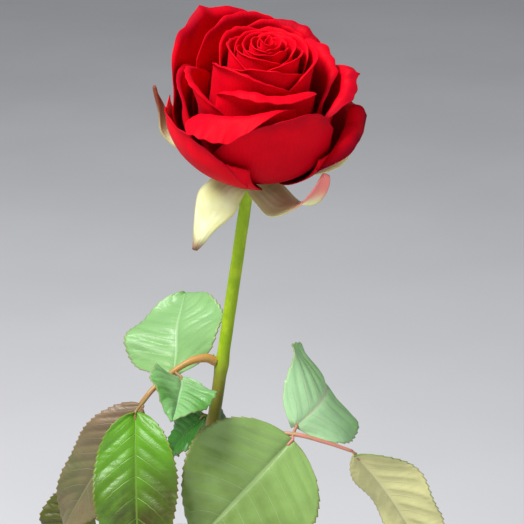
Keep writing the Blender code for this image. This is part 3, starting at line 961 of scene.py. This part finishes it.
def blade_points(blade):
    """The blade, row by row from its base: serrated, ovate and puckered between sunken side veins."""
    base = Vector(blade.base)
    axis = Vector(blade.tip) - base
    length = axis.length
    sideways = axis.cross(Vector(blade.facing)).normalized()
    upward = sideways.cross(axis).normalized()
    fold = radians(blade.fold)
    teeth = length / TOOTH_LENGTH
    seed = 300 * (base + Vector(blade.tip))
    points = []
    for row in range(LEAF_ROWS + 1):
        along = row / LEAF_ROWS
        ovate = along**BASE_ROUNDNESS * (1 - along) ** TIP_SHARPNESS / LEAFLET_WIDEST
        outline = between(BLADE_FOOT_SHARE, 1, ovate)
        tooth = ((along * teeth) % 1) ** TOOTH_LEAN - 0.45
        serration = TOOTH_DEPTH * tooth * smooth(along / 0.12) * smooth((1 - along) / 0.05)
        half_width = blade.breadth / 2 * outline + serration
        rise = blade.arch * length * 4 * along * (1 - along)
        for column in range(LEAF_COLUMNS + 1):
            across = 2 * column / LEAF_COLUMNS - 1
            out = abs(across)
            swept = along - VEIN_SWEEP * out**VEIN_BEND
            pucker = abs(sin(pi * (swept * SIDE_VEINS + 0.5))) ** 0.7 - 0.6
            pucker *= smooth(out / PUCKER_MARGIN) * smooth((1 - out) / PUCKER_MARGIN)
            phase = 2 if across > 0 else 0
            ripple = RIPPLE_HEIGHT * out**2 * sin(along * 13 + phase + seed.x)
            sway = SWAY_HEIGHT * noise.noise(seed + Vector((along * 3, across * 1.5, 0)))
            groove = MIDRIB_DEPTH * exp(-((out * half_width / MIDRIB_WIDTH) ** 2))
            lift = rise + out * half_width * sin(fold) + ripple + sway - groove
            lift += PUCKER_HEIGHT * outline * pucker
            aside = sideways * across * half_width * cos(fold)
            points.append(base + axis * along + aside + upward * lift)
    return points


def petiole_radius(share, turn):
    swelling = PETIOLE_SWELLING * exp(-((share / PETIOLE_SWELLING_SHARE) ** 2))
    return between(PETIOLE_FOOT_RADIUS, PETIOLE_END_RADIUS, share) * (1 + swelling)


def petiole_shapes(leaf):
    """The petiole and, from its joint with each blade, a short stalk that runs on under the midrib."""
    knots = [Vector(point) for point in leaf.petiole]
    skin = between(STEM_FOOT_RADIUS, STEM_TOP_RADIUS, leaf.node / STEM_LENGTH)
    foot = knots[0].normalized() * (skin + PETIOLE_START)
    shapes = [tube_shape(curve_through([foot, *knots], 10), petiole_radius, 16)]
    for blade in leaf.blades:
        base = Vector(blade.base)
        start = knots[blade.joint - 1]
        onward = base + (Vector(blade.tip) - base).normalized() * STALK_OVERLAP
        run = curve_through([start, between(start, base, 0.55), base, onward], 5)
        points, faces, along = tube_shape(run, lambda share, turn: STALK_RADIUS, 12)
        shapes.append((points, faces, [1.0] * len(along)))
    return shapes


def add_leaf(leaf):
    transform = Matrix.Translation(stem_place(leaf.node))
    node = f"{leaf.name}_petiole"
    stalk = stalk_material(f"{leaf.name}_stalk", *STALK_COLOURS[leaf.name])
    mesh = joined_mesh(f"{node}_stalk", petiole_shapes(leaf))
    make_piece(f"{node}_stalk", node, mesh, [stalk], transform)
    for blade in leaf.blades:
        node = f"{leaf.name}_{blade.name}_leaflet"
        mesh = sheet_mesh(f"{node}_blade", LEAF_COLUMNS, LEAF_ROWS, blade_points(blade))
        sides = [
            bpy.data.materials.get(f"leaf_{blade.look}_{side}") or leaf_material(blade.look, side)
            for side in ("upper", "under")
        ]
        piece = make_piece(f"{node}_blade", node, mesh, sides, transform)
        thicken(piece, LEAF_THICKNESS, under=1)


# Stage


def add_stage():
    corners = [(x * FLOOR_REACH, y * FLOOR_REACH, 0) for x, y in ((-1, -1), (1, -1), (1, 1), (-1, 1))]
    mesh = bpy.data.meshes.new("floor")
    mesh.from_pydata(corners, [], [(0, 1, 2, 3)])
    floor = bpy.data.objects.new("floor", mesh)
    bpy.context.scene.collection.objects.link(floor)
    mesh.materials.append(floor_material())


def aim(thing, place, target):
    thing.location = place
    thing.rotation_euler = (Vector(target) - Vector(place)).to_track_quat("-Z", "Y").to_euler()


def add_light(name, place, size, power):
    light = bpy.data.lights.new(name, "AREA")
    light.size = size
    light.energy = power
    lamp = bpy.data.objects.new(name, light)
    bpy.context.scene.collection.objects.link(lamp)
    aim(lamp, place, LIT_POINT)


def add_lights():
    add_light("key", (-0.50, -0.35, 1.30), size=0.5, power=24)
    add_light("fill", (1.2, -1.0, 0.6), size=1.0, power=2)
    add_light("bounce", (0.15, -1.1, 0.02), size=0.8, power=4)
    world = bpy.data.worlds.new("studio")
    world.use_nodes = True
    sky = world.node_tree.nodes["Background"]
    sky.inputs["Color"].default_value = SKY_COLOUR
    sky.inputs["Strength"].default_value = SKY_STRENGTH
    bpy.context.scene.world = world
    bpy.context.scene.view_settings.view_transform = "Standard"


def add_camera():
    """Looks down a little from the front at the bloom and the leaves, from close by."""
    elevation = radians(VIEW_ELEVATION)
    target = Vector(VIEW_CENTRE)
    camera = bpy.data.cameras.new("camera")
    camera.sensor_width = SENSOR_WIDTH
    camera.lens = SENSOR_WIDTH * VIEW_DISTANCE / VIEW_WIDTH
    taker = bpy.data.objects.new("camera", camera)
    bpy.context.scene.collection.objects.link(taker)
    aim(taker, target + VIEW_DISTANCE * Vector((0, -cos(elevation), sin(elevation))), target)
    bpy.context.scene.camera = taker


add_vase()
add_stem()
add_bloom()
for leaf in LEAVES:
    add_leaf(leaf)
add_stage()
add_lights()
add_camera()
